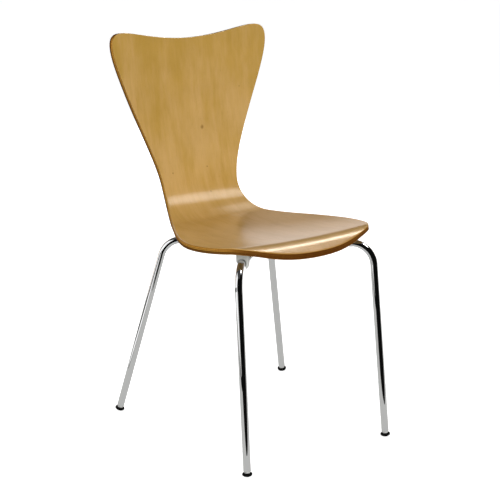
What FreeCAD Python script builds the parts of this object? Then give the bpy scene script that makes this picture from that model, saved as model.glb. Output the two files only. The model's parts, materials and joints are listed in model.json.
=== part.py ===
import FreeCAD, Part
import math
import os

# Stacking chair: a one-piece moulded plywood shell on two bent chromed tubes.
# Millimetres. +Z is up, the sitter faces -Y, and +X is the sitter's left.
# The chair is symmetric about X = 0, and the floor is Z = 0.

# ---- driving dimensions: shell ------------------------------------------------------------
SHELL_THICKNESS = 13.2
VENEER_THICKNESS = 1.2
PROFILE_START = (-249.97, 456.4)     # (y, z) of the seat's front edge on the centre line
PROFILE_HEADING = 24.0               # degrees above level at the front edge
# Centre-line profile of the sitting face, front to top: (length, turn in degrees) of each arc.
PROFILE = (
    (20.0, 0.0),                     # lip
    (41.5, -33.8),                   # roll over the lip
    (308.5, 12.4),                   # seat
    (120.0, 71.9),                   # bend
    (210.0, 10.8),                   # lumbar
    (216.5, -4.1),                   # shoulders
)
PLUMB_EDGE_RUN = 60.0                # the front edge is cut plumb, easing to square over this length
# Radii of the dish across the shell, and where along the centre line each one holds.
SEAT_DISH_RADIUS = 2500.0
BACK_DISH_RADIUS = 1500.0
DISH_STOPS = (250.0, 430.0, 637.0)   # seat dish ends, bend is flat, back dish is full
# Half of the flat blank's outline, front centre to top centre: control points (x, s) of a
# cubic B-spline, where s is the length along the centre line from the front edge.
HALF_OUTLINE = (
    (0.0, 0.0), (8.0, 0.0), (63.0, 0.0), (148.0, 32.0), (193.0, 59.0),
    (214.0, 166.0), (182.0, 266.0), (121.0, 385.0), (88.0, 473.0), (125.0, 587.0),
    (193.0, 746.0), (226.0, 876.0), (96.0, 822.0), (0.0, 822.0),
)

# ---- driving dimensions: legs -------------------------------------------------------------
TUBE_RADIUS = 8.0
TUBE_BORE_RADIUS = 6.5
BEND_RADIUS = 50.0
FRONT_FOOT = (186.0, -265.0, 0.0)
FRONT_CORNER = (175.5, -215.0, 440.0)
FRONT_APEX_Y = -36.0
REAR_FOOT = (234.0, 201.0, 0.0)
REAR_CORNER = (141.0, 132.0, 415.0)
REAR_APEX_Y = 35.0

# ---- driving dimensions: hub under the seat -----------------------------------------------
HUB_RADIUS = 85.0
BLOCK_THICKNESS = 6.0
PLATE_THICKNESS = 2.5
SCREW_X = 50.0
SCREW_Y = 36.0
INSERT_RADIUS = 4.5
INSERT_LENGTH = 5.5
SCREW_RADIUS = 3.0
WASHER_RADIUS = 7.0
WASHER_THICKNESS = 1.5
COVER_WALL = 2.0
COVER_DROP = 18.0
COVER_SCREW_RADIUS = 2.0

# ---- driving dimensions: bumpers and glides -----------------------------------------------
BUMPER_LENGTH = 24.0
BUMPER_HALF_WIDTH = 12.5
BUMPER_MOUTH = (1.3, 4.0)            # width and depth of the recess round the tube at each end
FRONT_BUMPER_AT = 57.0               # distance from the leg's corner along the arm
REAR_BUMPER_AT = 66.0
GLIDE_RADIUS = 10.75
GLIDE_HEIGHT = 9.3
GLIDE_SPHERE_RADIUS = 15.0
GLIDE_WEAR = 0.25                    # how far the floor cuts into the sphere
TUBE_END = 12.8                      # height of the tube's end above the glide's pole
STEM_TOP = 34.0

V = FreeCAD.Vector
UP = V(0, 0, 1)


# ---- shell geometry -----------------------------------------------------------------------
def ease(t):
    """Smooth step from 0 to 1."""
    t = min(max(t, 0.0), 1.0)
    return t * t * (3 - 2 * t)


def profile_at(s):
    """Point (y, z) and heading in radians of the sitting face's centre line at length s."""
    y, z = PROFILE_START
    heading = math.radians(PROFILE_HEADING)
    left = s
    for index, (length, turn) in enumerate(PROFILE):
        last = index == len(PROFILE) - 1
        reach = left if last else min(left, length)
        bend = math.radians(turn) * reach / length
        chord = reach if abs(bend) < 1e-9 else reach * math.sin(bend / 2) / (bend / 2)
        y += chord * math.cos(heading + bend / 2)
        z += chord * math.sin(heading + bend / 2)
        heading += bend
        left -= reach
        if left <= 0:
            break
    return y, z, heading


def dish_at(s):
    """Half the curvature across the shell at length s: the rise at x is this times x squared."""
    seat_end, back_start, back_full = DISH_STOPS
    seat = 0.5 / SEAT_DISH_RADIUS * (1 - ease((s - seat_end) / (back_start - seat_end)))
    back = 0.5 / BACK_DISH_RADIUS * ease((s - back_start) / (back_full - back_start))
    return seat + back


def shell_point(x, s, depth):
    """Point at (x, s) of the blank, at a depth below the sitting face. Depth runs square to the
    face, except at the front edge, where it leans until it is plumb."""
    y, z, heading = profile_at(s)
    dish = dish_at(s)
    up = V(0, -math.sin(heading), math.cos(heading))
    slope = 2 * dish * x
    normal = (up - V(slope, 0, 0)).normalize()
    along = V(0, math.cos(heading), math.sin(heading))
    lean = math.tan(heading) * (1 - ease(s / PLUMB_EDGE_RUN)) if s < PLUMB_EDGE_RUN else 0.0
    return V(x, y, z) + up * (dish * x * x) - (normal + along * lean) * depth


def clamped_knots(low, high, count):
    """Evenly spaced knots, their multiplicities for a clamped cubic, and the pole places."""
    knots = [low + (high - low) * i / count for i in range(count + 1)]
    mults = [4] + [1] * (count - 1) + [4]
    flat = [low] * 3 + knots + [high] * 3
    places = [sum(flat[i + 1:i + 4]) / 3 for i in range(len(flat) - 4)]
    return knots, mults, places


def shell_surface(depth):
    """Surface through the shell at one depth, with (x, s) of the blank as its parameters."""
    u_knots, u_mults, xs = clamped_knots(-240.0, 240.0, 16)
    v_knots, v_mults, lengths = clamped_knots(-20.0, 880.0, 90)
    poles = [[shell_point(x, s, depth) for s in lengths] for x in xs]
    surface = Part.BSplineSurface()
    surface.buildFromPolesMultsKnots(poles, u_mults, v_mults, u_knots, v_knots, False, False, 3, 3)
    return surface


def outline_curves():
    """The blank's outline as two plane curves, one for each side."""
    count = len(HALF_OUTLINE) - 3
    knots, mults = clamped_knots(0.0, 1.0, count)[:2]
    curves = []
    for side in (1, -1):
        poles = [FreeCAD.Base.Vector2d(side * x, s) for x, s in HALF_OUTLINE]
        curve = Part.Geom2d.BSplineCurve2d()
        curve.buildFromPolesMultsKnots(poles, mults, knots, False, 3)
        curves.append(curve)
    return curves


def shell_layer(top, bottom):
    """Closed solid of the shell between two depths, from its outline at each depth."""
    rims = []
    faces = []
    for depth in (top, bottom):
        surface = shell_surface(depth)
        edges = [curve.toShape(surface) for curve in outline_curves()]
        face = Part.Face(surface, Part.Wire(Part.sortEdges(edges)[0]))
        face.validate()
        rims.append(edges)
        faces.append(face)
    for upper, lower in zip(*rims):
        faces.append(Part.makeRuledSurface(upper, lower))
    shell = Part.makeShell(faces)
    shell.sewShape()
    solid = Part.Solid(shell)
    solid.fix(0.01, 0.01, 0.01)
    if solid.Volume < 0:
        solid.reverse()
    return solid


def above_underside():
    """Everything above the seat's underside, for trimming what is fitted under it."""
    face = shell_surface(SHELL_THICKNESS).toShape(-200.0, 200.0, 30.0, 400.0)
    return face.extrude(V(0, 0, 90))


# ---- legs ---------------------------------------------------------------------------------
def hub_levels():
    """Heights of the plate's top, the plate's underside and the tubes' axes at the hub."""
    lowest = min(shell_point(0, s, SHELL_THICKNESS).z for s in range(150, 350, 5))
    plate_top = lowest - BLOCK_THICKNESS
    plate_bottom = plate_top - PLATE_THICKNESS
    return plate_top, plate_bottom, plate_bottom - TUBE_RADIUS


def mirror_point(p):
    return V(-p.x, p.y, p.z)


def leg_points(foot, corner, apex_y):
    """Corner points of a leg tube, from the left foot over the hub to the right foot."""
    apex = V(0, apex_y, hub_levels()[2])
    foot = V(*foot)
    corner = V(*corner)
    start = foot + leg_axis(foot, corner) * (TUBE_END + glide_offset(foot, corner))
    return [start, corner, apex, mirror_point(corner), mirror_point(start)]


def leg_axis(foot, corner):
    return (V(*corner) - V(*foot)).normalize()


def glide_offset(foot, corner):
    """Distance from the floor to the glide's pole, along the leg's axis."""
    centre_height = GLIDE_SPHERE_RADIUS - GLIDE_WEAR
    return centre_height / leg_axis(foot, corner).z - GLIDE_SPHERE_RADIUS


def rounded_path(points, radius):
    """Straight runs through the points, joined by tangent arcs."""
    edges = []
    start = points[0]
    for before, corner, after in zip(points, points[1:], points[2:]):
        back = (before - corner).normalize()
        ahead = (after - corner).normalize()
        half_angle = back.getAngle(ahead) / 2
        tangent = radius / math.tan(half_angle)
        bisector = (back + ahead).normalize()
        arc_start = corner + back * tangent
        arc_end = corner + ahead * tangent
        arc_middle = corner + bisector * (radius / math.sin(half_angle) - radius)
        edges.append(Part.LineSegment(start, arc_start).toShape())
        edges.append(Part.Arc(arc_start, arc_middle, arc_end).toShape())
        start = arc_end
    edges.append(Part.LineSegment(start, points[-1]).toShape())
    return Part.Wire(edges)


def rod_along(points, radius):
    """Round bar that follows the rounded path through the points."""
    path = rounded_path(points, BEND_RADIUS)
    ring = Part.Wire(Part.makeCircle(radius, points[0], points[1] - points[0]))
    return path.makePipeShell([ring], True, False)


def leg_tube(foot, corner, apex_y):
    points = leg_points(foot, corner, apex_y)
    return rod_along(points, TUBE_RADIUS).cut(rod_along(points, TUBE_BORE_RADIUS))


# ---- hub under the seat -------------------------------------------------------------------
def screw_places():
    return [V(x, y, 0) for x in (-SCREW_X, SCREW_X) for y in (-SCREW_Y, SCREW_Y)]


def disc(radius, bottom, top, place=V(0, 0, 0)):
    """Upright cylinder between two heights."""
    return Part.makeCylinder(radius, top - bottom, V(place.x, place.y, bottom), UP)


def fused(shapes):
    return shapes[0].multiFuse(shapes[1:]).removeSplitter()


def mounting_block():
    """Plywood disc glued to the seat: flat below, and shaped to the underside above."""
    plate_top = hub_levels()[0]
    block = disc(HUB_RADIUS, plate_top, plate_top + 40).cut(above_underside())
    holes = [disc(INSERT_RADIUS, plate_top, plate_top + INSERT_LENGTH, p) for p in screw_places()]
    return block.cut(holes)


def threaded_inserts():
    plate_top = hub_levels()[0]
    return Part.makeCompound([
        disc(INSERT_RADIUS, plate_top, plate_top + INSERT_LENGTH, p).cut(
            disc(SCREW_RADIUS, plate_top, plate_top + INSERT_LENGTH, p))
        for p in screw_places()])


def mounting_plate():
    plate_top, plate_bottom = hub_levels()[:2]
    holes = [disc(SCREW_RADIUS + 0.3, plate_bottom, plate_top, p) for p in screw_places()]
    holes.append(disc(COVER_SCREW_RADIUS, plate_bottom, plate_top))
    plate = disc(HUB_RADIUS, plate_bottom, plate_top)
    rims = [e for e in plate.Edges if e.Length > 2 * HUB_RADIUS and e.isClosed()]
    return plate.makeFillet(0.6, rims).cut(holes)


def pan_head(radius, height, under, place, socket):
    """Domed screw head that hangs below the height "under", with a hexagon socket."""
    rise = radius * 0.45
    profile = [
        Part.LineSegment(V(0, 0, 0), V(radius, 0, 0)).toShape(),
        Part.LineSegment(V(radius, 0, 0), V(radius, 0, -height + rise)).toShape(),
        Part.Arc(V(radius, 0, -height + rise), V(radius * 0.74, 0, -height + 0.3 * rise),
                 V(0, 0, -height)).toShape(),
        Part.LineSegment(V(0, 0, -height), V(0, 0, 0)).toShape(),
    ]
    head = Part.Face(Part.Wire(profile)).revolve(V(0, 0, 0), UP, 360)
    corners = [V(socket * math.cos(a), socket * math.sin(a), -height - 1)
               for a in (math.radians(60 * i) for i in range(7))]
    key = Part.Face(Part.makePolygon(corners)).extrude(V(0, 0, 1 + height * 0.6))
    head = head.cut(key)
    head.translate(V(place.x, place.y, under))
    return head


def mounting_screws():
    """Four screws from below, through washer and plate, into the inserts."""
    plate_top, plate_bottom = hub_levels()[:2]
    under = plate_bottom - WASHER_THICKNESS
    screws = []
    for place in screw_places():
        shank = disc(SCREW_RADIUS - 0.05, under, plate_top + INSERT_LENGTH - 1, place)
        screws.append(fused([shank, pan_head(5.6, 3.4, under, place, 2.2)]))
    return Part.makeCompound(screws)


def screw_washers():
    plate_bottom = hub_levels()[1]
    under = plate_bottom - WASHER_THICKNESS
    return Part.makeCompound([
        disc(WASHER_RADIUS, under, plate_bottom, p).cut(disc(SCREW_RADIUS + 0.3, under, plate_bottom, p))
        for p in screw_places()])


def weld_beads():
    """Two beads along each arm where it crosses the plate, left and right of the tube."""
    plate_bottom = hub_levels()[1]
    solids = []
    for foot, corner, apex_y in ((FRONT_FOOT, FRONT_CORNER, FRONT_APEX_Y),
                                 (REAR_FOOT, REAR_CORNER, REAR_APEX_Y)):
        points = leg_points(foot, corner, apex_y)
        bar = rod_along(points, TUBE_RADIUS)
        for end in (points[1], points[3]):
            arm = V(end.x - points[2].x, end.y - points[2].y, 0).normalize()
            beside = arm.cross(UP)
            for side in (-1, 1):
                start = V(0, apex_y, plate_bottom - 1.4) + arm * 52 + beside * (side * 6.6)
                bead = Part.makeCylinder(2.6, 18, start, arm)
                bead = bead.fuse([Part.makeSphere(2.6, start), Part.makeSphere(2.6, start + arm * 18)])
                solids.append(bead.cut(bar).cut(disc(HUB_RADIUS + 20, plate_bottom, plate_bottom + 9)))
    return Part.makeCompound([solid for bead in solids for solid in bead.Solids])


def underseat_cover():
    """Round plastic tray that clips over the hub, with a notch for each arm."""
    plate_bottom = hub_levels()[1]
    floor = plate_bottom - COVER_DROP
    tray = disc(HUB_RADIUS, floor, plate_bottom)
    edge = [e for e in tray.Edges if e.isClosed() and abs(e.BoundBox.ZMax - floor) < 0.1]
    tray = tray.makeFillet(5.0, edge)
    hollow = disc(HUB_RADIUS - COVER_WALL, floor + COVER_WALL, plate_bottom)
    low = [e for e in hollow.Edges if e.isClosed() and abs(e.BoundBox.ZMax - floor - COVER_WALL) < 0.1]
    hollow = hollow.makeFillet(3.0, low)
    boss = disc(6.0, floor + COVER_WALL - 0.5, plate_bottom)
    cover = fused([tray.cut(hollow), boss])
    arms = [rod_along(leg_points(*leg), TUBE_RADIUS + 0.3) for leg in (
        (FRONT_FOOT, FRONT_CORNER, FRONT_APEX_Y), (REAR_FOOT, REAR_CORNER, REAR_APEX_Y))]
    above = [rod_above(leg_points(*leg)) for leg in (
        (FRONT_FOOT, FRONT_CORNER, FRONT_APEX_Y), (REAR_FOOT, REAR_CORNER, REAR_APEX_Y))]
    cover = cover.cut(arms + above)
    cover = cover.cut(disc(COVER_SCREW_RADIUS + 0.2, floor, plate_bottom))
    return max(cover.Solids, key=lambda solid: solid.Volume)


def rod_above(points):
    """The space straight above a leg tube's arms near the hub, for the cover's notches."""
    slots = []
    for end in (points[1], points[3]):
        arm = end - points[2]
        beside = V(arm.x, arm.y, 0).normalize().cross(UP) * (TUBE_RADIUS + 0.3)
        corners = [points[2] + beside, points[2] - beside, end - beside, end + beside]
        slots.append(Part.Face(Part.makePolygon(corners + corners[:1])).extrude(V(0, 0, 30)))
    return slots[0].fuse(slots[1])


def cover_screw():
    plate_top, plate_bottom = hub_levels()[:2]
    floor = plate_bottom - COVER_DROP
    place = V(0, 0, 0)
    shank = disc(COVER_SCREW_RADIUS - 0.05, floor, plate_top, place)
    return fused([shank, pan_head(4.2, 2.6, floor, place, 1.6)])


# ---- bumpers ------------------------------------------------------------------------------
def bumper(corner, apex_y, distance):
    """Saddle that sits on an arm and carries the seat: a pad above, a short lip to the left
    of the tube and a long hook to the right, seen along the arm towards the hub."""
    corner = V(*corner)
    arm = (V(0, apex_y, hub_levels()[2]) - corner).normalize()
    centre = corner + arm * distance
    level = V(arm.x, arm.y, 0).normalize()
    beside = level.cross(UP)
    width = BUMPER_HALF_WIDTH
    outline = [(-8.0, 0.0), (-10.8, 1.5), (-width, 6.0), (-width, 70.0), (width, 70.0), (width, 5.0),
               (11.9, -6.0), (11.0, -10.2), (9.8, -11.0), (8.6, -10.3), (7.4, -7.0), (0.0, 0.0)]
    corners = [centre - level * (BUMPER_LENGTH / 2) + beside * u + UP * w for u, w in outline]
    block = Part.Face(Part.makePolygon(corners + corners[:1])).extrude(level * BUMPER_LENGTH)
    upright = [e for e in block.Edges if abs(e.tangentAt(e.FirstParameter).z) > 0.99 and e.Length > 30]
    block = block.makeFillet(3.0, upright)
    bar = Part.makeCylinder(TUBE_RADIUS, 120, centre - arm * 60, arm)
    relief, inward = BUMPER_MOUTH
    mouths = []
    for way in (arm, -arm):
        mouth = centre + way * (BUMPER_LENGTH / 2 - inward)
        mouths.append(Part.makeCylinder(TUBE_RADIUS + relief, 2 * inward, mouth, way))
    seated = block.cut([bar] + mouths).cut(above_underside())
    lowest = [solid for solid in seated.Solids if solid.BoundBox.ZMin < centre.z]
    return lowest[0]


# ---- feet ---------------------------------------------------------------------------------
def turned(profile, foot, corner):
    """Solid of revolution about the leg's axis, from a profile of (radius, height) edges."""
    solid = Part.Face(Part.Wire(profile)).revolve(V(0, 0, 0), UP, 360)
    axis = leg_axis(foot, corner)
    base = V(*foot) + axis * glide_offset(foot, corner)
    solid.Placement = FreeCAD.Placement(base, FreeCAD.Rotation(UP, axis))
    return solid


def run(*points):
    """Edges of a straight-sided profile from (radius, height) points."""
    corners = [V(r, 0, h) for r, h in points]
    return [Part.LineSegment(a, b).toShape() for a, b in zip(corners, corners[1:])]


def arc(start, middle, end):
    return Part.Arc(*(V(r, 0, h) for r, h in (start, middle, end))).toShape()


def glide_cap(foot, corner):
    """Domed cap under a leg: spherical below, round at the rim, and worn flat on the floor."""
    sphere = GLIDE_SPHERE_RADIUS
    rim = 8.6
    rim_height = sphere - math.sqrt(sphere ** 2 - rim ** 2)
    middle = rim / 2
    middle_height = sphere - math.sqrt(sphere ** 2 - middle ** 2)
    neck = TUBE_BORE_RADIUS
    profile = [arc((0, 0), (middle, middle_height), (rim, rim_height)),
               arc((rim, rim_height), (10.2, 3.9), (GLIDE_RADIUS, 5.6))]
    profile += run((GLIDE_RADIUS, 5.6), (GLIDE_RADIUS, 6.4))
    profile.append(arc((GLIDE_RADIUS, 6.4), (9.7, 8.5), (7.4, GLIDE_HEIGHT)))
    profile += run((7.4, GLIDE_HEIGHT), (neck - 2.0, GLIDE_HEIGHT), (neck - 2.0, 5.0), (0, 5.0), (0, 0))
    cap = turned(profile, foot, corner)
    floor = Part.makeBox(60, 60, 10, V(foot[0] - 30, foot[1] - 30, -10))
    return cap.cut(floor)


def glide_stem(foot, corner):
    """Insert pressed into the tube's end; its shoulder shows as a ring above the cap."""
    neck = TUBE_BORE_RADIUS
    profile = run((0, 5.0), (neck - 2.0, 5.0), (neck - 2.0, GLIDE_HEIGHT), (neck, GLIDE_HEIGHT),
                  (neck, STEM_TOP - 2.0), (neck - 2.0, STEM_TOP), (0, STEM_TOP), (0, 5.0))
    return turned(profile, foot, corner)


# ---- assembly -----------------------------------------------------------------------------
def all_pieces():
    """Every piece of the chair by node name, before the origin is centred."""
    inner_top = VENEER_THICKNESS
    inner_bottom = SHELL_THICKNESS - VENEER_THICKNESS
    pieces = {
        "face_veneer": shell_layer(0.0, inner_top),
        "shell_core": shell_layer(inner_top, inner_bottom),
        "back_veneer": shell_layer(inner_bottom, SHELL_THICKNESS),
        "mounting_block": mounting_block(),
        "threaded_inserts": threaded_inserts(),
        "mounting_plate": mounting_plate(),
        "front_leg_tube": leg_tube(FRONT_FOOT, FRONT_CORNER, FRONT_APEX_Y),
        "rear_leg_tube": leg_tube(REAR_FOOT, REAR_CORNER, REAR_APEX_Y),
        "weld_beads": weld_beads(),
        "screw_washers": screw_washers(),
        "mounting_screws": mounting_screws(),
        "underseat_cover": underseat_cover(),
        "cover_screw": cover_screw(),
    }
    ends = (("front", FRONT_FOOT, FRONT_CORNER, FRONT_APEX_Y, FRONT_BUMPER_AT),
            ("rear", REAR_FOOT, REAR_CORNER, REAR_APEX_Y, REAR_BUMPER_AT))
    for end, foot, corner, apex_y, distance in ends:
        for side, sign in (("left", 1), ("right", -1)):
            foot_here = (sign * foot[0], foot[1], foot[2])
            corner_here = (sign * corner[0], corner[1], corner[2])
            name = end + "_" + side
            pieces["bumper_" + name] = bumper(corner_here, apex_y, distance)
            pieces["glide_stem_" + name] = glide_stem(foot_here, corner_here)
            pieces["glide_cap_" + name] = glide_cap(foot_here, corner_here)
    return pieces


def main():
    os.makedirs("parts", exist_ok=True)
    pieces = all_pieces()
    box = Part.makeCompound(list(pieces.values())).optimalBoundingBox(False)
    to_centre = V(0, -(box.YMin + box.YMax) / 2, 0)
    for name, shape in pieces.items():
        shape.translate(to_centre)
        shape.exportStep("parts/" + name + ".step")
        print(name, shape.ShapeType, "valid", shape.isValid(), "solids", len(shape.Solids),
              "volume %.0f" % shape.Volume)
    print("shift %.3f" % to_centre.y, "height %.1f" % box.ZMax, "lowest %.3f" % box.ZMin,
          "x %.1f" % box.XLength, "y %.1f" % box.YLength)


main()
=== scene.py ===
import json
import math

import bpy
import numpy as np
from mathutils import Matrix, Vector


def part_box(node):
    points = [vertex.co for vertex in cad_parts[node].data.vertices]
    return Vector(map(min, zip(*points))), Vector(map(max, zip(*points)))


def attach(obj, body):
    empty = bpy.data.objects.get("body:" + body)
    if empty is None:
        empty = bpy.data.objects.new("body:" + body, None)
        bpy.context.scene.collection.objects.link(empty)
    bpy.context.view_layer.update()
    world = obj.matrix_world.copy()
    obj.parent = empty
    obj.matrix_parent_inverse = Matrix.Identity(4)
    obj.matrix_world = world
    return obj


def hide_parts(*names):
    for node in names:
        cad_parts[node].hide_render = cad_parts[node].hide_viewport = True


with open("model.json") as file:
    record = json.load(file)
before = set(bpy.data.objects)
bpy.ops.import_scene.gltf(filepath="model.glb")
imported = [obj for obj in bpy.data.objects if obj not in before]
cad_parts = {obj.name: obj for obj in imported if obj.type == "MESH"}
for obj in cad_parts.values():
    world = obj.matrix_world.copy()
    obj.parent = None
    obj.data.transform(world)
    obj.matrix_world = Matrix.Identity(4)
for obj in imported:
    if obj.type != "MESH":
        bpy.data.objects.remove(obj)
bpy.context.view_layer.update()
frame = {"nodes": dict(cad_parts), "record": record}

# Metres. +Z is up, the sitter faces -Y, +X is the sitter's left, the floor is Z = 0.

# ---- shell sizes, as the moulding's drawing gives them --------------------------------------
SHELL_THICKNESS = 0.0132
VENEER = 0.0012
FRONT_EDGE_HEIGHT = 0.4564
FRONT_HEADING = 24.0
PROFILE = (                 # length, turn in degrees: lip, its roll, seat, bend, lumbar, shoulders
    (0.020, 0.0), (0.0415, -33.8), (0.3085, 12.4), (0.120, 71.9), (0.210, 10.8), (0.2165, -4.1),
)
PLUMB_EDGE_RUN = 0.060      # the front edge is plumb, easing to square over this length
SEAT_DISH_RADIUS = 2.5
BACK_DISH_RADIUS = 1.5
DISH_STOPS = (0.250, 0.430, 0.637)
HALF_OUTLINE = (            # control points (x, s) of half the flat blank
    (0.0, 0.0), (0.008, 0.0), (0.063, 0.0), (0.148, 0.032), (0.193, 0.059),
    (0.214, 0.166), (0.182, 0.266), (0.121, 0.385), (0.088, 0.473), (0.125, 0.587),
    (0.193, 0.746), (0.226, 0.876), (0.096, 0.822), (0.0, 0.822),
)
FRONT_EDGE_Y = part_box("face_veneer")[0].y
CORE_PLIES = 7
ACROSS = 56                 # cells across the shell
ALONG = 190                 # cells along it
BAND = 0.0025               # strip of surface kept square to the edge
PLY = (SHELL_THICKNESS - 2 * VENEER) / CORE_PLIES
PLY_FULL = (0.18, 0.82)     # the share of each ply between the grooves at its glue lines
PLY_GROOVE = 0.00012        # depth of the groove at each glue line
LAP = 1e-6                  # each veneer reaches this far into the core
ARRIS_STEPS = 6             # points round a veneer's edge
OUTLINE_STEPS = 4000        # points of the outline before it is spaced evenly
# The outline's heading, in degrees, at the middle of each rounded corner.
FRONT_CORNER_HEADING = 45
TOP_CORNER_HEADING = 130


def ease(t):
    """0 to 1 with level ends: 3 t squared less 2 t cubed."""
    t = np.clip(t, 0.0, 1.0)
    return t * t * (3 - 2 * t)


def centre_line(s):
    """Points (y, z) and headings along the sitting face's centre line: each stretch is an arc,
    whose chord is its length times sin(half turn) / (half turn)."""
    y = np.full_like(s, FRONT_EDGE_Y)
    z = np.full_like(s, FRONT_EDGE_HEIGHT)
    heading = np.full_like(s, math.radians(FRONT_HEADING))
    start = 0.0
    for index, (length, turn) in enumerate(PROFILE):
        last = index == len(PROFILE) - 1
        run = np.clip(s - start, 0.0 if index else -1.0, 1.0 if last else length)
        bend = math.radians(turn) * run / length
        chord = run * np.sinc(bend / 2 / math.pi)
        y = y + chord * np.cos(heading + bend / 2)
        z = z + chord * np.sin(heading + bend / 2)
        heading = heading + bend
        start += length
    return y, z, heading


def shell_points(blank, depth):
    """Points of the shell at places (x, s) of the flat blank, sunk by a depth below the sitting
    face: the centre line's point, raised by dish times x squared, less the normal times depth.
    Near the front edge the depth leans along the face, by the tangent of its slope, until plumb."""
    x, s = blank[..., 0], blank[..., 1]
    y, z, heading = centre_line(s)
    seat_end, back_start, back_full = DISH_STOPS
    dish = 0.5 / SEAT_DISH_RADIUS * (1 - ease((s - seat_end) / (back_start - seat_end)))
    dish = dish + 0.5 / BACK_DISH_RADIUS * ease((s - back_start) / (back_full - back_start))
    up = np.stack([np.zeros_like(x), -np.sin(heading), np.cos(heading)], -1)
    centre = np.stack([x, y, z], -1)
    slope = 2 * dish * x
    normal = up - np.stack([slope, np.zeros_like(x), np.zeros_like(x)], -1)
    normal = normal / np.sqrt(1 + slope * slope)[..., None]
    along = np.stack([np.zeros_like(x), np.cos(heading), np.sin(heading)], -1)
    near_edge = s < PLUMB_EDGE_RUN
    lean = np.where(near_edge, np.tan(heading * near_edge) * (1 - ease(s / PLUMB_EDGE_RUN)), 0.0)
    return centre + up * (dish * x * x)[..., None] - (normal + along * lean[..., None]) * depth


def cubic_spline(points, t):
    """Clamped uniform cubic B-spline through control points, by the Cox-de Boor recursion."""
    points = np.asarray(points)
    spans = len(points) - 3
    knots = np.concatenate([[0] * 3, np.arange(spans + 1), [spans] * 3]) / spans
    t = np.clip(t, 0, 1 - 1e-9)[:, None]
    basis = ((t >= knots[:-1]) & (t < knots[1:])).astype(float)
    for degree in (1, 2, 3):
        left = knots[degree:-1] - knots[:-degree - 1]
        right = knots[degree + 1:] - knots[1:-degree]
        low = np.where(left > 0, (t - knots[:-degree - 1]) / np.where(left > 0, left, 1), 0)
        high = np.where(right > 0, (knots[degree + 1:] - t) / np.where(right > 0, right, 1), 0)
        basis = low * basis[:, :-1] + high * basis[:, 1:]
    return basis @ points


def evenly(curve, count):
    """The curve's points again, count + 1 of them, at even distances along it."""
    steps = np.concatenate([[0], np.cumsum(np.linalg.norm(np.diff(curve, axis=0), axis=1))])
    places = np.linspace(0, steps[-1], count + 1)
    return np.stack([np.interp(places, steps, curve[:, k]) for k in range(2)], -1)


def blank_sides():
    """The blank's four sides, each between the middles of two rounded corners: front, right,
    top and left, all running forwards in x or in s."""
    half = cubic_spline(HALF_OUTLINE, np.linspace(0, 1, OUTLINE_STEPS))
    run = np.diff(half, axis=0)
    angle = np.unwrap(np.arctan2(run[:, 1], run[:, 0]))
    front = int(np.argmax(angle > math.radians(FRONT_CORNER_HEADING)))
    ear = int(np.argmax(angle > math.radians(TOP_CORNER_HEADING)))
    mirror = np.array([-1.0, 1.0])
    front_side = np.concatenate([(half[:front + 1] * mirror)[::-1], half[1:front + 1]])
    right_side = half[front:ear + 1]
    top_side = np.concatenate([half[ear:] * mirror, half[ear:-1][::-1]])
    return (evenly(front_side, ACROSS), evenly(right_side, ALONG),
            evenly(top_side, ACROSS), evenly(right_side * mirror, ALONG))


def rim_loop(front, right, top, left):
    """The four sides as one loop, counter-clockwise seen from the sitting side."""
    return np.concatenate([front, right[1:], top[::-1][1:], left[::-1][1:-1]])


def inset(loop, distance):
    """The loop moved inwards along its own normals."""
    run = np.roll(loop, -1, 0) - np.roll(loop, 1, 0)
    run = run / np.linalg.norm(run, axis=1)[:, None]
    outward = np.stack([run[:, 1], -run[:, 0]], -1)
    return loop - outward * distance, outward


def filled(loop):
    """Grid of blank places inside a loop: the sum of the two ruled fills between facing sides,
    less the bilinear fill of the corners."""
    front = loop[:ACROSS + 1]
    right = loop[ACROSS:ACROSS + ALONG + 1]
    top = loop[ACROSS + ALONG:2 * ACROSS + ALONG + 1][::-1]
    left = np.concatenate([loop[2 * ACROSS + ALONG:], loop[:1]])[::-1]
    u = np.linspace(0, 1, ACROSS + 1)[None, :, None]
    v = np.linspace(0, 1, ALONG + 1)[:, None, None]
    across = (1 - v) * front[None] + v * top[None]
    along = (1 - u) * left[:, None] + u * right[:, None]
    corners = ((1 - u) * (1 - v) * front[0] + u * (1 - v) * front[-1]
               + (1 - u) * v * top[0] + u * v * top[-1])
    return across + along - corners


def grid_rim(grid):
    """The numbers of a grid's border vertices, counter-clockwise."""
    return np.concatenate([grid[0], grid[1:, -1], grid[-1, :-1][::-1], grid[1:-1, 0][::-1]])


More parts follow.
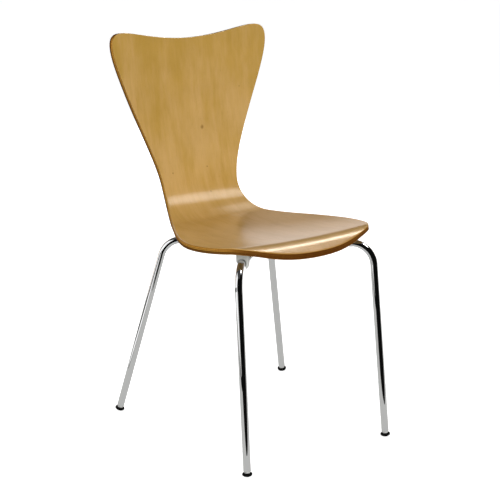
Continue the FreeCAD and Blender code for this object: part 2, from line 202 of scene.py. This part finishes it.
def sheet_layer(name, edge):
    """Closed sheet of the shell. edge lists (inset, depth) from the upper face round to the
    lower one; both faces are filled grids, and the rings between them are the edge."""
    loop = rim_loop(*blank_sides())
    outward = inset(loop, 0.0)[1]
    flat = [inset(loop, away)[0] for away, depth in edge]
    face_loop = inset(loop, edge[0][0] + BAND)[0]
    back_loop = inset(loop, edge[-1][0] + BAND)[0]
    upper = filled(face_loop).reshape(-1, 2)
    lower = filled(back_loop).reshape(-1, 2)
    blank = np.concatenate([upper, lower] + flat)
    depth = np.concatenate([np.full(len(upper), edge[0][1]), np.full(len(lower), edge[-1][1])]
                           + [np.full(len(loop), d) for a, d in edge])
    points = shell_points(blank, depth[:, None])
    grid = np.arange(len(upper)).reshape(ALONG + 1, ACROSS + 1)
    loops = [grid_rim(grid)]
    loops += [2 * len(upper) + np.arange(len(loop)) + k * len(loop) for k in range(len(edge))]
    loops.append(grid_rim(grid) + len(upper))
    cells = np.stack([grid[:-1, :-1], grid[:-1, 1:], grid[1:, 1:], grid[1:, :-1]], -1)
    cells = cells.reshape(-1, 4)
    quads = [cells, cells[:, ::-1] + len(upper)]
    for a, b in zip(loops, loops[1:]):
        quads.append(np.stack([a, b, np.roll(b, -1), np.roll(a, -1)], -1))
    end_grain = np.concatenate([np.zeros(2 * len(upper))] + [outward[:, 1] ** 2] * len(edge))
    return mesh_piece(name, points, np.concatenate(quads),
                      {"blank": blank}, {"depth": depth, "end_grain": end_grain})


def mesh_piece(name, points, quads, maps, values):
    """Smooth mesh from vertex and quad arrays, with UV maps and float attributes per vertex."""
    mesh = bpy.data.meshes.new(name)
    mesh.vertices.add(len(points))
    mesh.vertices.foreach_set("co", np.asarray(points, np.float32).ravel())
    mesh.loops.add(quads.size)
    mesh.loops.foreach_set("vertex_index", quads.ravel().astype(np.int32))
    mesh.polygons.add(len(quads))
    mesh.polygons.foreach_set("loop_start", np.arange(0, quads.size, 4, dtype=np.int32))
    mesh.polygons.foreach_set("use_smooth", np.ones(len(quads), bool))
    mesh.update(calc_edges=True)
    for map_name, coordinates in maps.items():
        layer = mesh.uv_layers.new(name=map_name)
        layer.data.foreach_set("uv", coordinates[quads.ravel()].astype(np.float32).ravel())
    for value_name, value in values.items():
        attribute = mesh.attributes.new(value_name, "FLOAT", "POINT")
        attribute.data.foreach_set("value", np.asarray(value, np.float32))
    mesh.validate()
    piece = bpy.data.objects.new(name, mesh)
    bpy.context.scene.collection.objects.link(piece)
    return piece


def quarter_round(steps):
    """Places (inset, depth) round the veneer's outer edge, from its face down to its side."""
    turn = np.linspace(0, math.pi / 2, steps)
    return [(VENEER * (1 - math.sin(a)), VENEER * (1 - math.cos(a))) for a in turn]


def core_edge():
    """Places (inset, depth) down the plies' edge, with a fine groove at each glue line."""
    places = [(0.0, VENEER)]
    for k in range(CORE_PLIES):
        top = VENEER + k * PLY
        places += [(0.0, top + share * PLY) for share in PLY_FULL]
        places.append((PLY_GROOVE, top + PLY))
    places[-1] = (0.0, SHELL_THICKNESS - VENEER)
    return places


# ---- node helpers ----------------------------------------------------------------------------
class Nodes:
    """A node tree with short calls for the kinds of node that the finishes use."""

    def __init__(self, tree):
        self.tree = tree

    def add(self, kind, inputs=None, **settings):
        node = self.tree.nodes.new(kind)
        for key, value in settings.items():
            setattr(node, key, value)
        for key, value in (inputs or {}).items():
            self.feed(node.inputs[key], value)
        return node

    def feed(self, socket, value):
        if isinstance(value, bpy.types.NodeSocket):
            self.tree.links.new(value, socket)
        else:
            socket.default_value = value

    def math(self, operation, a, b=0.0, clamp=False):
        node = self.add("ShaderNodeMath", {0: a, 1: b}, operation=operation, use_clamp=clamp)
        return node.outputs[0]

    def mix(self, factor, a, b, blend="MIX"):
        node = self.add("ShaderNodeMix", data_type="RGBA", blend_type=blend)
        for index, value in ((0, factor), (6, a), (7, b)):
            self.feed(node.inputs[index], value)
        return node.outputs[2]

    def ramp(self, value, low, high):
        """0 below low, 1 above high, smooth between."""
        node = self.add("ShaderNodeMapRange", {"Value": value, "From Min": low, "From Max": high},
                        interpolation_type="SMOOTHSTEP")
        return node.outputs[0]

    def noise(self, vector, scale=1.0, detail=2.0, roughness=0.5):
        node = self.add("ShaderNodeTexNoise", {
            "Vector": vector, "Scale": scale, "Detail": detail, "Roughness": roughness})
        return node.outputs[0]

    def scaled(self, value, factor, plus=0.0):
        """value times factor, plus a constant."""
        product = self.math("MULTIPLY", value, factor)
        return self.math("ADD", product, plus) if plus else product

    def rest(self, value):
        """1 less the value."""
        return self.math("SUBTRACT", 1.0, value)

    def tinted(self, colour, tint):
        return self.mix(1.0, colour, tint, "MULTIPLY")

    def stretch(self, vector, scale, place=(0, 0, 0)):
        node = self.add("ShaderNodeMapping", {"Vector": vector, "Scale": scale, "Location": place})
        return node.outputs[0]


def group(name, inputs, outputs, build):
    """Shader node group with named sockets; build gets the nodes, its inputs and its outputs."""
    tree = bpy.data.node_groups.new(name, "ShaderNodeTree")
    for socket, kind, value in inputs:
        made = tree.interface.new_socket(socket, in_out="INPUT", socket_type="NodeSocket" + kind)
        if value is not None:
            made.default_value = value
    for socket, kind in outputs:
        tree.interface.new_socket(socket, in_out="OUTPUT", socket_type="NodeSocket" + kind)
    nodes = Nodes(tree)
    inside = nodes.add("NodeGroupInput")
    outside = nodes.add("NodeGroupOutput")
    results = build(nodes, inside.outputs)
    for socket, value in results.items():
        nodes.feed(outside.inputs[socket], value)
    return tree


def material(name, build, **constants):
    """Material with one Principled shader. build returns what feeds its sockets, and a constant
    is named after its socket, in lower case with underscores."""
    finish = bpy.data.materials.new(name)
    finish.use_nodes = True
    finish.node_tree.nodes.clear()
    nodes = Nodes(finish.node_tree)
    shader = nodes.add("ShaderNodeBsdfPrincipled")
    nodes.add("ShaderNodeOutputMaterial", {"Surface": shader.outputs[0]})
    for key, value in constants.items():
        shader.inputs[key.replace("_", " ").title().replace("Ior", "IOR")].default_value = value
    for key, value in build(nodes).items():
        nodes.feed(shader.inputs[key], value)
    return finish


def placed(nodes, tree, inputs):
    node = nodes.add("ShaderNodeGroup", node_tree=tree)
    for key, value in inputs.items():
        nodes.feed(node.inputs[key], value)
    return node.outputs


def bump(nodes, height, distance):
    node = nodes.add("ShaderNodeBump", {"Height": height, "Distance": distance, "Strength": 1.0})
    return node.outputs[0]


# ---- wood ------------------------------------------------------------------------------------
# Colours are linear, with their alpha.
NO_TINT = (1.0, 1.0, 1.0, 1.0)
PALE_WOOD = (0.66, 0.410, 0.142, 1)
HONEY_WOOD = (0.53, 0.315, 0.060, 1)
DARK_WOOD = (0.26, 0.125, 0.022, 1)
PIP_WOOD = (0.24, 0.120, 0.026, 1)
# The tints match colours under this light: they are painted reflection, highlight and shade, and
# stand for no stain or wear, apart from the lacquer soaked into end grain.
SEAT_REFLECTION_TINT = (0.97, 0.89, 0.70, 1)       # painted warm reflection: the seat is warmer than the back, whose brown it mirrors
FRONT_SHADE_TINT = (0.74, 0.66, 0.50, 1)      # painted shade: the veneer is darker towards the front edge, where the lip tilts towards the front lamp
SEAT_REFLECTION_TINT_FADES = (0.34, 0.56)          # s where each tint starts to fade and where it is gone
FRONT_SHADE_TINT_FADES = (0.012, 0.045)
DEEPER_FROM = (0.52, 0.82)              # s where the upper back starts and ends getting deeper
DEEPENING = 0.16
DEEPENING_BELOW = 0.25                  # share of it taken off again, which leaves the seat paler
VENEER_STREAKS = 0.12
VENEER_RELIEF = 0.00006
FACE_LEAF = (0.31, 0.0, 0.0)            # where on the log each veneer leaf was cut
BACK_LEAF = (1.7, 3.1, 0.0)
PIN_KNOTS = (                           # x, s and size on the sitting face
    (0.021, 0.614, 0.0040), (-0.072, 0.516, 0.0016), (0.022, 0.521, 0.0016),
    (0.020, 0.462, 0.0018), (0.128, 0.700, 0.0014), (-0.110, 0.236, 0.0016),
    (0.075, 0.120, 0.0016),
)
KNOT_LENGTHENING = 0.8                  # a knot is 1 / 0.8 times as long as it is wide
EDGE_LIGHT = (0.44, 0.24, 0.056, 1)
EDGE_MIDDLE = (0.32, 0.155, 0.030, 1)
EDGE_DARK = (0.14, 0.055, 0.012, 1)
EDGE_GLUE = (0.04, 0.014, 0.004, 1)
SOAKED_AND_SHADE_TINT = (0.52, 0.40, 0.30, 1)     # lacquer soaks into end grain and darkens it; it is also painted shade on the front and top edges
PALE_PLIES_HIGHLIGHT_TINT = (2.3, 2.2, 1.6, 1)    # painted highlight: the first plies along the side edges are lighter
LOWER_SIDE_SHADE_TINT = (0.70, 0.60, 0.45, 1) # painted shade: the plies below them are darker
LOWER_END_SHADE_TINT = (0.8, 0.7, 0.6, 1)     # painted shade on the plies of the front and top edges
PALE_PLIES_HIGHLIGHT_END = (0.0060, 0.0085)       # depths where the painted highlight on the pale plies starts to fade and is gone
EDGE_RELIEF = 0.00008


def build_grain(nodes, given):
    """Lengthwise grain from places (x, s) in metres: broad bands and soft streaks choose between
    the pale and honey tones, then dark streaks, fibres and flecks are laid over, and a broad
    mottle lightens or darkens it all."""
    place = given["Place"]
    wander = nodes.noise(nodes.stretch(place, (6.0, 3.0, 1.0)), detail=3.0)
    shift = nodes.math("MULTIPLY", nodes.math("SUBTRACT", wander, 0.5), 0.03)
    shift = nodes.add("ShaderNodeCombineXYZ", {"X": shift}).outputs[0]
    bent = nodes.add("ShaderNodeVectorMath", {0: place, 1: shift}, operation="ADD").outputs[0]
    band = nodes.noise(nodes.stretch(bent, (17.0, 5.0, 1.0)), detail=4.0, roughness=0.6)
    streak = nodes.noise(nodes.stretch(bent, (80.0, 7.0, 1.0)), detail=5.0, roughness=0.65)
    fibre = nodes.noise(nodes.stretch(bent, (520.0, 26.0, 1.0)), detail=3.0, roughness=0.6)
    fleck = nodes.noise(nodes.stretch(place, (900.0, 110.0, 1.0)), detail=1.0)
    mottle = nodes.noise(nodes.stretch(place, (9.0, 14.0, 1.0)), detail=2.0)
    tone = nodes.math("ADD", nodes.scaled(band, 0.7), nodes.scaled(streak, 0.3))
    tone = nodes.math("ADD", tone, given["Deepen"])
    body = nodes.mix(nodes.ramp(tone, 0.32, 0.74), given["Pale"], given["Honey"])
    dark = nodes.math("MULTIPLY", nodes.ramp(streak, 0.56, 0.80), given["Streaks"])
    body = nodes.mix(dark, body, given["Dark"])
    body = nodes.mix(nodes.scaled(nodes.ramp(fibre, 0.45, 0.75), 0.12), body, given["Dark"])
    speck = nodes.scaled(nodes.ramp(fleck, 0.66, 0.80), 0.35)
    body = nodes.mix(speck, body, given["Dark"])
    shade = nodes.add("ShaderNodeCombineColor")
    lift = nodes.scaled(mottle, 0.14, 0.93)
    for socket in shade.inputs:
        nodes.feed(socket, lift)
    height = nodes.math("SUBTRACT", nodes.scaled(fibre, 0.6), nodes.scaled(speck, 0.8))
    return {"Color": nodes.tinted(body, shade.outputs[0]), "Height": height,
            "Roughness": nodes.scaled(fibre, 0.12, 0.36)}


def build_pips(nodes, given):
    """Pin knots: soft brown spots, each at its own place on the sheet, darkest in the middle."""
    place = given["Place"]
    mask = None
    for x, s, size in PIN_KNOTS:
        along = KNOT_LENGTHENING / size
        spot = nodes.stretch(place, (1.0 / size, along, 1.0), (-x / size, -s * along, 0.0))
        far = nodes.add("ShaderNodeVectorMath", {0: spot}, operation="LENGTH").outputs["Value"]
        one = nodes.rest(nodes.ramp(far, 0.0, 1.5))
        mask = one if mask is None else nodes.math("MAXIMUM", mask, one)
    grit = nodes.noise(nodes.stretch(place, (420.0, 160.0, 1.0)), detail=2.0)
    mask = nodes.math("MULTIPLY", mask, nodes.scaled(grit, 0.6, 0.5))
    return {"Color": nodes.mix(mask, given["Color"], given["Dark"])}


def build_painted_light_tints(nodes, given):
    """A colour multiplied by the seat's painted warm reflection and by the front edge's painted
    shade, each fading out with the distance along the sheet."""
    colour = given["Color"]
    # painted warm reflection on the seat, then painted shade at the front edge
    for tint, fading in (("Seat", SEAT_REFLECTION_TINT_FADES), ("Front", FRONT_SHADE_TINT_FADES)):
        fade = nodes.ramp(given["Along"], *fading)
        colour = nodes.tinted(colour, nodes.mix(fade, given[tint], NO_TINT))
    return {"Color": colour}


GRAIN = group("lengthwise_grain",
              [("Place", "Vector", None), ("Pale", "Color", PALE_WOOD),
               ("Honey", "Color", HONEY_WOOD), ("Dark", "Color", DARK_WOOD),
               ("Streaks", "Float", VENEER_STREAKS), ("Deepen", "Float", 0.0)],
              [("Color", "Color"), ("Height", "Float"), ("Roughness", "Float")], build_grain)
PIPS = group("pin_knots",
             [("Place", "Vector", None), ("Color", "Color", HONEY_WOOD), ("Dark", "Color", PIP_WOOD)],
             [("Color", "Color")], build_pips)
PAINTED_LIGHT_TINTS = group("painted_light_along_sheet",
              [("Along", "Float", 0.0), ("Color", "Color", HONEY_WOOD),
               ("Seat", "Color", SEAT_REFLECTION_TINT), ("Front", "Color", FRONT_SHADE_TINT)],
              [("Color", "Color")], build_painted_light_tints)


def veneer_finish(name, leaf, pips):
    """Lacquered veneer: deeper in tone up the back, with a painted warm reflection on the seat and
    painted shade at the front edge.
    """
    def build(nodes):
        sheet = nodes.add("ShaderNodeUVMap", uv_map="blank").outputs[0]
        place = nodes.stretch(sheet, (1, 1, 1), leaf)
        along = nodes.add("ShaderNodeSeparateXYZ", {0: sheet}).outputs["Y"]
        deepen = nodes.math("SUBTRACT", nodes.ramp(along, *DEEPER_FROM), DEEPENING_BELOW)
        grain = placed(nodes, GRAIN, {
            "Place": place, "Pale": PALE_WOOD, "Honey": HONEY_WOOD, "Dark": DARK_WOOD,
            "Streaks": VENEER_STREAKS, "Deepen": nodes.scaled(deepen, DEEPENING)})
        # painted warm reflection on the seat and painted shade at the front edge
        tints = {"Along": along, "Color": grain["Color"], "Seat": SEAT_REFLECTION_TINT, "Front": FRONT_SHADE_TINT}
        colour = placed(nodes, PAINTED_LIGHT_TINTS, tints)["Color"]
        if pips:
            knots = {"Place": sheet, "Color": colour, "Dark": PIP_WOOD}
            colour = placed(nodes, PIPS, knots)["Color"]
        return {"Base Color": colour, "Roughness": grain["Roughness"],
                "Normal": bump(nodes, grain["Height"], VENEER_RELIEF)}
    return material(name, build, coat_weight=0.9, coat_roughness=0.20, coat_ior=1.5,
                    specular_ior_level=0.08)


def ply_edge_finish():
    """Edge of the cross-glued plies: each ply's tone depends on whether its fibres run along the edge
    or end in it, with dark glue lines between plies. Along the sides, the plies next to the sitting
    face are lighter, a painted highlight, and the plies below them are darker, a painted shade. The
    front and top edges are darker, partly as painted shade and partly for lacquer soaked into their
    end grain."""
    def build(nodes):
        sheet = nodes.add("ShaderNodeUVMap", uv_map="blank").outputs[0]
        depth = nodes.add("ShaderNodeAttribute", attribute_name="depth").outputs["Fac"]
        ends = nodes.add("ShaderNodeAttribute", attribute_name="end_grain").outputs["Fac"]
        count = nodes.math("DIVIDE", nodes.math("SUBTRACT", depth, VENEER), PLY)
        within = nodes.math("FRACT", count)
        crosswise = nodes.rest(nodes.math("MODULO", nodes.math("FLOOR", count), 2.0))
        facing = nodes.math("ABSOLUTE", nodes.math("SUBTRACT", ends, crosswise))
        fibre = nodes.noise(nodes.stretch(sheet, (260.0, 260.0, 1.0)), detail=3.0)
        pores = nodes.noise(nodes.stretch(sheet, (1500.0, 1500.0, 1.0)), detail=2.0)
        side = nodes.mix(fibre, EDGE_LIGHT, EDGE_MIDDLE)
        end = nodes.mix(nodes.ramp(pores, 0.35, 0.65), EDGE_MIDDLE, EDGE_DARK)
        body = nodes.mix(facing, side, end)
        glue = nodes.math("ADD", nodes.rest(nodes.ramp(within, 0.0, 0.14)),
                          nodes.ramp(within, 0.90, 1.0), clamp=True)
        body = nodes.mix(nodes.scaled(glue, 0.75), body, EDGE_GLUE)
        # front and top edges: darkened for lacquer soaked into end grain, and by painted shade
        body = nodes.tinted(body, nodes.mix(ends, NO_TINT, SOAKED_AND_SHADE_TINT))
        sides = nodes.rest(ends)
        # painted highlight on the side plies next to the sitting face, painted shade below them and
        # on the front and top edges
        pale = nodes.math("MULTIPLY", sides, nodes.rest(nodes.ramp(depth, *PALE_PLIES_HIGHLIGHT_END)))
        lower = nodes.mix(sides, LOWER_END_SHADE_TINT, LOWER_SIDE_SHADE_TINT)
        body = nodes.tinted(body, nodes.mix(pale, lower, PALE_PLIES_HIGHLIGHT_TINT))
        return {"Base Color": body, "Roughness": nodes.scaled(pores, 0.2, 0.35),
                "Normal": bump(nodes, nodes.math("SUBTRACT", pores, glue), EDGE_RELIEF)}
    return material("ply_edge_lacquered", build, coat_weight=0.04, coat_roughness=0.3,
                    specular_ior_level=0.0)


def build_shell():
    """The three layers, each in place of the CAD node of the same layer."""
    face_edge = quarter_round(ARRIS_STEPS)
    back_edge = [(away, SHELL_THICKNESS - depth) for away, depth in face_edge][::-1]
    under_face = [(0.0, VENEER + LAP)]
    over_back = [(0.0, SHELL_THICKNESS - VENEER - LAP)]
    face_finish = veneer_finish("face_veneer_lacquered", FACE_LEAF, True)
    back_finish = veneer_finish("back_veneer_lacquered", BACK_LEAF, False)
    layers = (
        ("face_veneer_sheet", face_edge + under_face, face_finish, "face_veneer", "face_veneer"),
        ("cross_plies", core_edge(), ply_edge_finish(), "shell_core", "cross_plies"),
        ("back_veneer_sheet", over_back + back_edge, back_finish, "back_veneer", "back_veneer"),
    )
    for name, edge, finish, node, slot in layers:
        piece = sheet_layer(name, edge)
        piece.data.materials.append(finish)
        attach(piece, "root")
        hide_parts(node)


# ---- metal and plastic -------------------------------------------------------------------------
CLOUD_DETAIL = 3.0
SPANGLE = {"swing": 0.15, "clouds": 420.0, "grit": 420.0, "relief": 0.00005, "metallic": 1.0}


def grey(level):
    return (level, level, level, 1)


def object_place(nodes):
    return nodes.add("ShaderNodeTexCoord").outputs["Object"]


def surface_noise(nodes, scale):
    return nodes.noise(object_place(nodes), scale=scale, detail=CLOUD_DETAIL)


def build_mottle(nodes, given):
    """Two close colours in clouds, a roughness that adds the clouds times a swing, and the
    height of a grit."""
    cloud = nodes.noise(given["Place"], scale=given["Cloud scale"], detail=CLOUD_DETAIL)
    grit = nodes.noise(given["Place"], scale=given["Grit scale"], detail=CLOUD_DETAIL)
    swing = nodes.math("MULTIPLY", cloud, given["Swing"])
    return {"Color": nodes.mix(cloud, given["First"], given["Second"]),
            "Roughness": nodes.math("ADD", swing, given["Roughness"]), "Height": grit}


MOTTLE = group("mottled_surface",
               [("Place", "Vector", None), ("First", "Color", grey(0.5)),
                ("Second", "Color", grey(0.5)), ("Roughness", "Float", 0.5),
                ("Swing", "Float", 0.1), ("Cloud scale", "Float", 60.0),
                ("Grit scale", "Float", 1400.0)],
               [("Color", "Color"), ("Roughness", "Float"), ("Height", "Float")], build_mottle)


def mottled_finish(name, first, second, rough, swing=0.1, clouds=60.0, grit=1400.0,
                   relief=0.00003, **constants):
    """Moulded, painted or plated surface, from the mottle group."""
    def build(nodes):
        mottle = placed(nodes, MOTTLE, {
            "Place": object_place(nodes), "First": first, "Second": second, "Roughness": rough,
            "Swing": swing, "Cloud scale": clouds, "Grit scale": grit})
        return {"Base Color": mottle["Color"], "Roughness": mottle["Roughness"],
                "Normal": bump(nodes, mottle["Height"], relief)}
    return material(name, build, **constants)


def chrome_finish():
    def build(nodes):
        smear = surface_noise(nodes, 35.0)
        colour = nodes.mix(smear, (0.80, 0.81, 0.82, 1), grey(0.87))
        return {"Base Color": colour,
                "Roughness": nodes.scaled(nodes.ramp(smear, 0.45, 0.8), 0.05, 0.025)}
    return material("chrome_bright", build, metallic=1.0)


def block_finish():
    """Bare plywood under the seat, its grain along Y."""
    def build(nodes):
        grain = placed(nodes, GRAIN, {
            "Place": object_place(nodes), "Pale": (0.50, 0.34, 0.16, 1),
            "Honey": (0.42, 0.27, 0.11, 1), "Dark": (0.22, 0.12, 0.04, 1), "Streaks": 0.4})
        return {"Base Color": grain["Color"], "Roughness": nodes.math("ADD", grain["Roughness"], 0.2),
                "Normal": bump(nodes, grain["Height"], 0.0001)}
    return material("block_plywood", build)


def finish_fittings():
    """Finishes of the CAD nodes that stay, by the slot that the record gives each one."""
    finishes = {
        "chrome": chrome_finish(),
        "zinc": mottled_finish("zinc_plate", (0.45, 0.45, 0.44, 1), (0.62, 0.62, 0.60, 1), 0.28,
                               **SPANGLE),
        "weld": mottled_finish("plated_weld", grey(0.50), grey(0.70), 0.15, **SPANGLE),
        "black_steel": mottled_finish("black_powder_coat", grey(0.015), grey(0.03), 0.5,
                                      grit=900.0, relief=0.0001),
        "black_plastic": mottled_finish("black_moulded_cover", grey(0.018), grey(0.028), 0.45,
                                        relief=0.00006),
        "glide_black": mottled_finish("black_satin_plastic", grey(0.004), grey(0.008), 0.45,
                                      specular_ior_level=0.03),
        "nylon": mottled_finish("natural_nylon", (0.60, 0.60, 0.58, 1), (0.70, 0.70, 0.68, 1), 0.35),
        "clear_plastic": mottled_finish("translucent_polyethylene", (0.84, 0.86, 0.81, 1),
                                        (0.92, 0.93, 0.90, 1), 0.3, transmission_weight=0.2,
                                        ior=1.5),
        "block_plywood": block_finish(),
    }
    for part in frame["record"]["subparts"]:
        if part["material_slot"] in finishes:
            node = frame["nodes"][part["node"]]
            for slot in node.material_slots:
                slot.material = finishes[part["material_slot"]]


# ---- studio ------------------------------------------------------------------------------------
AIM = Vector((0.0, 0.00445, 0.3995))    # what the camera and the lights point at
CAMERA_AZIMUTH = -34.1
CAMERA_ELEVATION = 15.77
CAMERA_DISTANCE = 2.976
LENS = 95.8
FLOOR_REACH = 14.0
CARD_LIFT = 0.004                       # dark cards on the floor lie this much above it
DARK_FLOOR = (                          # (x, y) outline of the floor that is dark in reflections
    (-0.30, -0.44), (-4.4, -1.9), (-4.4, -6.0), (6.0, -6.0), (6.0, -0.75), (1.10, -0.62),
    (0.06, -0.61),
)
DARK_GAP = ((-1.16, -0.95), (-0.98, -0.95), (-0.98, 0.60), (-1.16, 0.60))
DARK_SLOPE_DISTANCE = 0.85
DARK_SLOPE = (                          # (azimuth, height) outline of a sloping dark strip
    (-84.0, 0.32), (-118.0, 0.16), (-150.0, 0.04), (-150.0, 0.14), (-118.0, 0.30), (-84.0, 0.46),
)
FLAG_PLACE = (0.07, 0.13, 0.455)        # the corner of the bend that the flag shades
FLAG_DISTANCE = 0.5
FLAG_CORNERS = ((-0.3, -0.15), (0.3, -0.15), (0.3, 0.06), (-0.3, 0.06))
LIP_LIGHT = (129.0, 46.0)               # azimuth and elevation of the strip mirrored in the lip
WARM_WALL = (1.0, 0.87, 0.78)
WARM_SHEEN = (1.0, 0.78, 0.54)
WARM_STRIP = (1.0, 0.92, 0.80)
CARD_GLOWS = {"dark": (0.004, (1, 1, 1)), "white": (1.1, (1, 1, 1)), "pale": (1.15, WARM_WALL)}
# Each wall: name, azimuths, distance, height, which card it is.
WALLS = (
    ("dark_wall_near_camera", (-68.0, 0.0), 5.0, 5.0, "dark"),
    ("dark_wall_right", (0.0, 80.0), 5.0, 5.0, "dark"),
    ("white_card_left", (-128.0, -74.0), 1.35, 1.6, "white"),
    ("pale_wall_behind", (100.0, 215.0), 4.0, 0.9, "pale"),
)
# Each light: name, azimuth, elevation, distance, width, height, glow, tint.
MIRRORED_LIGHTS = (
    ("seat_sheen", 154.0, 33.0, 3.0, 1.5, 0.9, 1.0, WARM_SHEEN),
    ("bend_softbox", 57.0, 51.0, 3.0, 1.3, 0.8, 6.0, (1, 1, 1)),
    ("lip_strip", *LIP_LIGHT, 3.0, 1.5, 0.22, 27.0, WARM_STRIP),
)
FILL_LIGHTS = (
    ("back_fill", 165.0, 18.0, 3.6, 2.2, 2.0, 3.0, (1, 1, 1)),
    ("front_key", 4.0, 14.0, 3.6, 2.4, 2.0, 6.3, (1, 1, 1)),
    ("left_fill", -95.0, 26.0, 3.0, 2.0, 2.0, 2.2, (1, 1, 1)),
)


def toward(azimuth, elevation):
    """Unit vector that leans from -Y round towards +X by the azimuth, and up by the elevation."""
    azimuth, elevation = math.radians(azimuth), math.radians(elevation)
    level = math.cos(elevation)
    return Vector((math.sin(azimuth) * level, -math.cos(azimuth) * level, math.sin(elevation)))


def add_camera():
    data = bpy.data.cameras.new("camera")
    data.lens = LENS
    data.sensor_width = 36.0
    camera = bpy.data.objects.new("camera", data)
    out = toward(CAMERA_AZIMUTH, CAMERA_ELEVATION)
    camera.location = AIM + out * CAMERA_DISTANCE
    camera.rotation_euler = out.to_track_quat("Z", "Y").to_euler()
    bpy.context.scene.collection.objects.link(camera)
    bpy.context.scene.camera = camera


def softbox(name, azimuth, elevation, distance, width, height, glow, tint, mirrored):
    """Area light aimed at the chair, either only mirrored in gloss or only lighting it. glow is
    its radiance, so its power is pi times that times its area."""
    data = bpy.data.lights.new(name, "AREA")
    data.shape = "RECTANGLE"
    data.size = width
    data.size_y = height
    data.energy = math.pi * glow * width * height
    data.color = tint
    light = bpy.data.objects.new(name, data)
    out = toward(azimuth, elevation)
    light.location = AIM + out * distance
    light.rotation_euler = out.to_track_quat("Z", "Y").to_euler()
    light.visible_glossy = mirrored
    light.visible_diffuse = not mirrored
    bpy.context.scene.collection.objects.link(light)


def stage_card(name, corners, finish, mirrored_only=True):
    """Flat card of the studio from its corners, seen by the camera only if it isn't mirrored_only."""
    mesh = bpy.data.meshes.new(name)
    mesh.from_pydata(corners, [], [tuple(range(len(corners)))])
    card = bpy.data.objects.new(name, mesh)
    mesh.materials.append(finish)
    bpy.context.scene.collection.objects.link(card)
    if mirrored_only:
        card.visible_camera = False
        card.visible_diffuse = False
        card.visible_shadow = False
        card.visible_transmission = False


def wall_card(name, azimuths, distance, height, finish):
    """Upright card that stands on the floor between two azimuths."""
    near, far = (toward(azimuth, 0.0) * distance for azimuth in azimuths)
    rise = Vector((0, 0, height))
    stage_card(name, [near, far, far + rise, near + rise], finish)


def flag_card(name, place, direction, distance, finish):
    """Dark card that hides a light from one place on the shell."""
    out = toward(*direction)
    across = Vector((-out.y, out.x, 0)).normalized()
    rise = out.cross(across)
    centre = Vector(place) + out * distance
    stage_card(name, [centre + across * u + rise * v for u, v in FLAG_CORNERS], finish)


def glowing(name, radiance, tint):
    shade = tuple(radiance * level for level in tint) + (1.0,)
    return material(name, lambda nodes: {}, base_color=(0, 0, 0, 1), roughness=1.0,
                    specular_ior_level=0.0, emission_color=shade, emission_strength=1.0)


def pale_floor():
    """Staged: nearly white to the camera, grey in reflections and dark as a light on the chair."""
    def build(nodes):
        cloud = surface_noise(nodes, 0.7)
        ray = nodes.add("ShaderNodeLightPath").outputs
        white = nodes.mix(cloud, grey(0.93), grey(0.95))
        dim = nodes.mix(ray["Is Glossy Ray"], grey(0.03), (0.46, 0.46, 0.45, 1))
        return {"Base Color": nodes.mix(ray["Is Camera Ray"], (0.12, 0.12, 0.118, 1), white),
                "Emission Color": nodes.mix(ray["Is Camera Ray"], dim, grey(0.72))}
    return material("pale_floor", build, roughness=0.9, specular_ior_level=0.0, emission_strength=1.0)


def build_world():
    """Staged: white behind the chair, grey as a light, and nearly dark in reflections."""
    world = bpy.data.worlds.new("studio")
    world.use_nodes = True
    world.node_tree.nodes.clear()
    nodes = Nodes(world.node_tree)
    ray = nodes.add("ShaderNodeLightPath").outputs
    dim = nodes.mix(ray["Is Glossy Ray"], grey(0.30), grey(0.06))
    shade = nodes.mix(ray["Is Camera Ray"], dim, grey(1))
    backdrop = nodes.add("ShaderNodeBackground", {"Color": shade})
    nodes.add("ShaderNodeOutputWorld", {"Surface": backdrop.outputs[0]})
    bpy.context.scene.world = world
    bpy.context.scene.view_settings.view_transform = "Standard"


def build_studio():
    far = FLOOR_REACH
    floor = [(-far, -far, 0), (far, -far, 0), (far, far, 0), (-far, far, 0)]
    stage_card("floor", floor, pale_floor(), mirrored_only=False)
    cards = {kind: glowing(kind + "_card", *glow) for kind, glow in CARD_GLOWS.items()}
    dark = cards["dark"]
    for name, outline in (("dark_floor_before_sweep", DARK_FLOOR), ("dark_gap_left", DARK_GAP)):
        stage_card(name, [(x, y, CARD_LIFT) for x, y in outline], dark)
    for name, azimuths, distance, height, kind in WALLS:
        wall_card(name, azimuths, distance, height, cards[kind])
    slope = [toward(azimuth, 0.0) * DARK_SLOPE_DISTANCE + Vector((0, 0, height))
             for azimuth, height in DARK_SLOPE]
    stage_card("dark_slope_left", slope, dark)
    flag_card("flag_beside_back", FLAG_PLACE, LIP_LIGHT, FLAG_DISTANCE, dark)
    for light in MIRRORED_LIGHTS:
        softbox(*light, mirrored=True)
    for light in FILL_LIGHTS:
        softbox(*light, mirrored=False)
    build_world()


build_shell()
finish_fittings()
build_studio()
add_camera()
